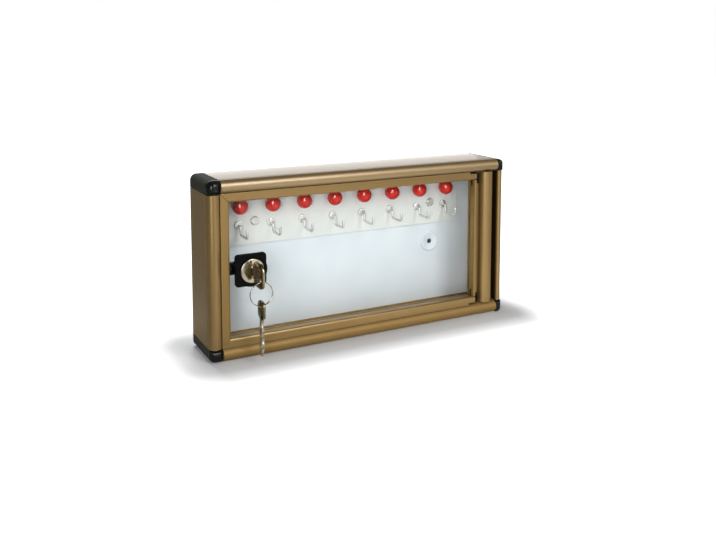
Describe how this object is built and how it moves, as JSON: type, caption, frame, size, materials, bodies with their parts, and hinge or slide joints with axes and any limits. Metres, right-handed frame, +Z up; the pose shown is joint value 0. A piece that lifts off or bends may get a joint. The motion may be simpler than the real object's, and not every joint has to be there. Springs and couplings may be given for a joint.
{
  "type": "key cabinet",
  "caption": "Shallow wall cabinet for keys: gold extruded case with black corners, glazed door on end pivots, lock with its key on a ring, a row of hooks under red ball pegs.",
  "frame": {"origin": "centre of the flat back face", "axes": "+X right as seen from the front, +Y back into the wall, +Z up"},
  "size_m": [0.3, 0.0749, 0.154],
  "materials": {
    "gold_anodised": "satin gold anodised extrusion",
    "black_plastic": "moulded, light texture",
    "white_panel": "smooth white",
    "red_plastic": "glossy moulded",
    "nickel": "bright nickel plate",
    "steel": "plain cut steel",
    "clear_sheet": "clear sheet"
  },
  "bodies": {
    "case": {"case_top_rail": "gold_anodised", "case_bottom_rail": "gold_anodised", "case_left_stile": "gold_anodised", "case_right_stile": "gold_anodised", "corner_top_left": "black_plastic", "corner_bottom_left": "black_plastic", "corner_top_right": "black_plastic", "corner_bottom_right": "black_plastic", "back_panel": "white_panel", "hook_strip": "white_panel", "strip_screw_left": "nickel", "strip_screw_right": "nickel", "wall_ring_left": "white_panel", "wall_ring_right": "white_panel", "wall_grommet_left": "black_plastic", "wall_grommet_right": "black_plastic", "strike_plate": "steel", "hinge_bush_top": "black_plastic", "hinge_bush_bottom": "black_plastic", "peg_1": "red_plastic", "peg_2": "red_plastic", "peg_3": "red_plastic", "peg_4": "red_plastic", "peg_5": "red_plastic", "peg_6": "red_plastic", "peg_7": "red_plastic", "peg_8": "red_plastic", "hook_1": "nickel", "hook_2": "nickel", "hook_3": "nickel", "hook_4": "nickel", "hook_5": "nickel", "hook_6": "nickel", "hook_7": "nickel", "hook_8": "nickel"},
    "door": {"door_top_rail": "gold_anodised", "door_bottom_rail": "gold_anodised", "door_left_stile": "gold_anodised", "door_right_stile": "gold_anodised", "door_key_top": "steel", "door_key_bottom": "steel", "hinge_cap_top": "black_plastic", "hinge_cap_bottom": "black_plastic", "pane": "clear_sheet", "lock_plate": "black_plastic", "lock_cylinder": "nickel", "lock_nut": "nickel", "bolt_guide": "black_plastic"},
    "plug": {"lock_plug": "nickel"},
    "bolt": {"bolt": "black_plastic"},
    "key": {"key": "steel"},
    "ring": {"key_ring": "nickel"},
    "spare": {"spare_key": "steel"}
  },
  "joints": [
    {"name": "door_hinge", "type": "hinge", "parent": "case", "child": "door", "pos_m": [0.119, -0.043, 0], "axis": [0, 0, 1], "range_deg": [0, 105]},
    {"name": "plug_turn", "type": "hinge", "parent": "door", "child": "plug", "pos_m": [-0.111, -0.0473, -0.0025], "axis": [0, -1, 0], "range_deg": [0, 90]},
    {"name": "bolt_slide", "type": "slide", "parent": "door", "child": "bolt", "axis": [-1, 0, 0], "range_m": [0, 0.006]},
    {"name": "key_slide", "type": "slide", "parent": "plug", "child": "key", "axis": [0, -1, 0], "range_m": [0, 0.016]},
    {"name": "ring_swing", "type": "hinge", "parent": "key", "child": "ring", "pos_m": [-0.111, -0.0679, -0.00755], "axis": [1, 0, 0], "range_deg": [-45, 8]},
    {"name": "spare_swing", "type": "hinge", "parent": "ring", "child": "spare", "pos_m": [-0.111, -0.0679, -0.02655], "axis": [1, 0, 0], "range_deg": [-45, 8]}
  ],
  "couplings": [
    {"joint": "bolt_slide", "follows": "plug_turn", "m_per_rad": 0.003782}
  ]
}
